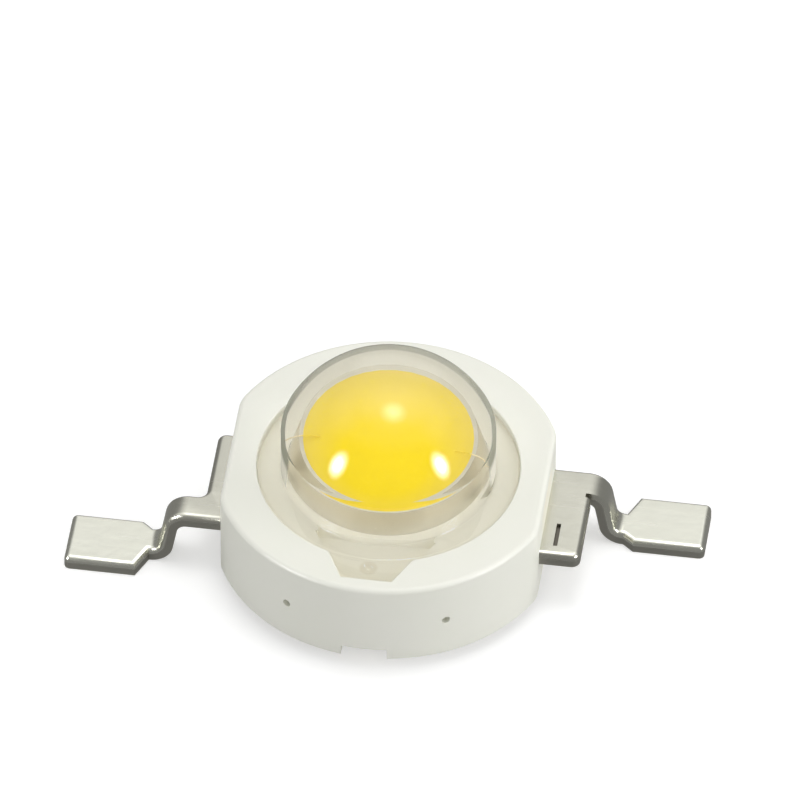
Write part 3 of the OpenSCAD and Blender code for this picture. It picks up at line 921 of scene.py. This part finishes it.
def roll_over(bm):
    """Rounds the upper edges outside the body, and the corners of the pad's end."""
    bmesh.ops.bisect_plane(bm, geom=everything(bm), plane_co=(flat_x - INSIDE, 0, 0),
                           plane_no=(1, 0, 0))
    outer = [e for e in level_edges(bm, lead_top_z) if e.calc_face_angle(0) > 1
             and min(v.co.x for v in e.verts) > flat_x - INSIDE - NEAR
             and not all(in_relief(v) for v in e.verts)]
    tips = [e for e in bm.edges if all(v.co.x > end_x - TOUCH for v in e.verts)
            and abs(e.verts[0].co.y - e.verts[1].co.y) < TOUCH]
    soften(bm, outer + tips, ROLL_OVER, ROLL_SEGMENTS)


print("blanks can be punched")

# %% [markdown]
# The neck is bent round two edges, slice by slice, as a press brake would. It first needs cuts
# across it where it will curve. The blank's flat coordinates and the height in the strip are
# stored before the bending, so that the finish can still follow them after it.

# %% Bending
BEND_SLICES = 10
GROOVE_OUT, GROOVE_BACK, GROOVE_LEN, GROOVE_W, GROOVE_DEPTH = 0.33, 0.3, 0.7, 0.1, 0.08
groove_x, groove_y = flat_x + GROOVE_OUT, GROOVE_BACK - PLATE_W / 2


def slice_neck(bm, plate_x):
    """Cuts the neck across at every slice of its two bends, and leaves the plate whole."""
    bmesh.ops.bisect_plane(bm, geom=everything(bm), plane_co=(0, relief_y, 0), plane_no=(0, 1, 0))
    for start in (bend_x, second_x):
        for i in range(BEND_SLICES + 1):
            neck = [v for v in bm.verts if v.co.x > plate_x + NEAR or v.co.y > relief_y - TOUCH]
            parts = {part for v in neck for part in (*v.link_edges, *v.link_faces)
                     if all(corner in neck for corner in part.verts)}
            bmesh.ops.bisect_plane(bm, geom=neck + list(parts), plane_no=(1, 0, 0),
                                   plane_co=(start + bend_len * i / BEND_SLICES, 0, 0))


def store_blank(bm, grooved):
    """Stores the flat coordinates as a UV map, and the height in the strip as an attribute."""
    height = bm.verts.layers.float.new("height")
    strip = bm.loops.layers.uv.new("strip")
    groove_z = lead_top_z - GROOVE_DEPTH
    for v in bm.verts:
        # The floor of the groove, which gets a painted shade.
        groove_floor_painted_dark = abs(v.co.z - groove_z) < TOUCH and abs(v.co.x - groove_x) < GROOVE_W
        v[height] = -1 if grooved and groove_floor_painted_dark else (v.co.z - lead_rise) / STRIP_T
        for corner in v.link_loops:
            corner[strip].uv = v.co.xy


def press(bm, start, centre_z, angle, plate_x):
    """Bends the neck over an edge of the press, from start on, slice by slice."""
    rows = {}
    for v in bm.verts:
        on_plate = v.co.x < plate_x + NEAR and v.co.y < neck_low - NECK_RELIEF / 2
        if v.co.x > start - TOUCH and not on_plate:
            rows.setdefault(round(min(v.co.x, start + bend_len), 4), []).append(v)
    for x, row in rows.items():
        bmesh.ops.translate(bm, verts=row, vec=(start - x, 0, 0))
        bmesh.ops.rotate(bm, verts=row, cent=(start, 0, centre_z),
                         matrix=Matrix.Rotation(angle * (x - start) / bend_len, 3, "Y"))


print(f"a bend takes {bend_len:.2f} mm of strip")

# %% [markdown]
# A lead goes through the same steps as in the factory: punch, emboss, press. The far bend comes
# first, while the strip up to it is still flat. The anode carries a short groove on its plate. The
# cathode's plate is narrower and has none, and the whole lead is the anode's turned half round.

# %% Leads
ANODE_PLATE_OUT, CATHODE_PLATE_OUT = 0.93, 0.46


def formed_lead(plate_x, groove=None):
    """Punches the flat blank of a lead, rolls its upper edge over, and bends it."""
    bm = blank(plate_x)
    roll_over(bm)
    if groove:
        bm = combined(bm, [groove], "DIFFERENCE")
    slice_neck(bm, plate_x)
    store_blank(bm, bool(groove))
    press(bm, second_x, lead_top_z + BEND_R, -BEND_ANGLE, plate_x)
    press(bm, bend_x, lead_rise - BEND_R, BEND_ANGLE, plate_x)
    return bm


groove = box((groove_x - GROOVE_W / 2, groove_x + GROOVE_W / 2),
             (groove_y, groove_y + GROOVE_LEN), (lead_top_z - GROOVE_DEPTH, lead_top_z + CUT))
anode = formed_lead(flat_x + ANODE_PLATE_OUT, groove)
finished_piece(anode, "anode_strip", plated, "lead", "anode_lead")
cathode = formed_lead(flat_x + CATHODE_PLATE_OUT)
bmesh.ops.rotate(cathode, verts=cathode.verts, cent=(0, 0, 0),
                 matrix=Matrix.Rotation(math.pi, 3, "Z"))
finished_piece(cathode, "cathode_strip", plated, "lead", "cathode_lead")
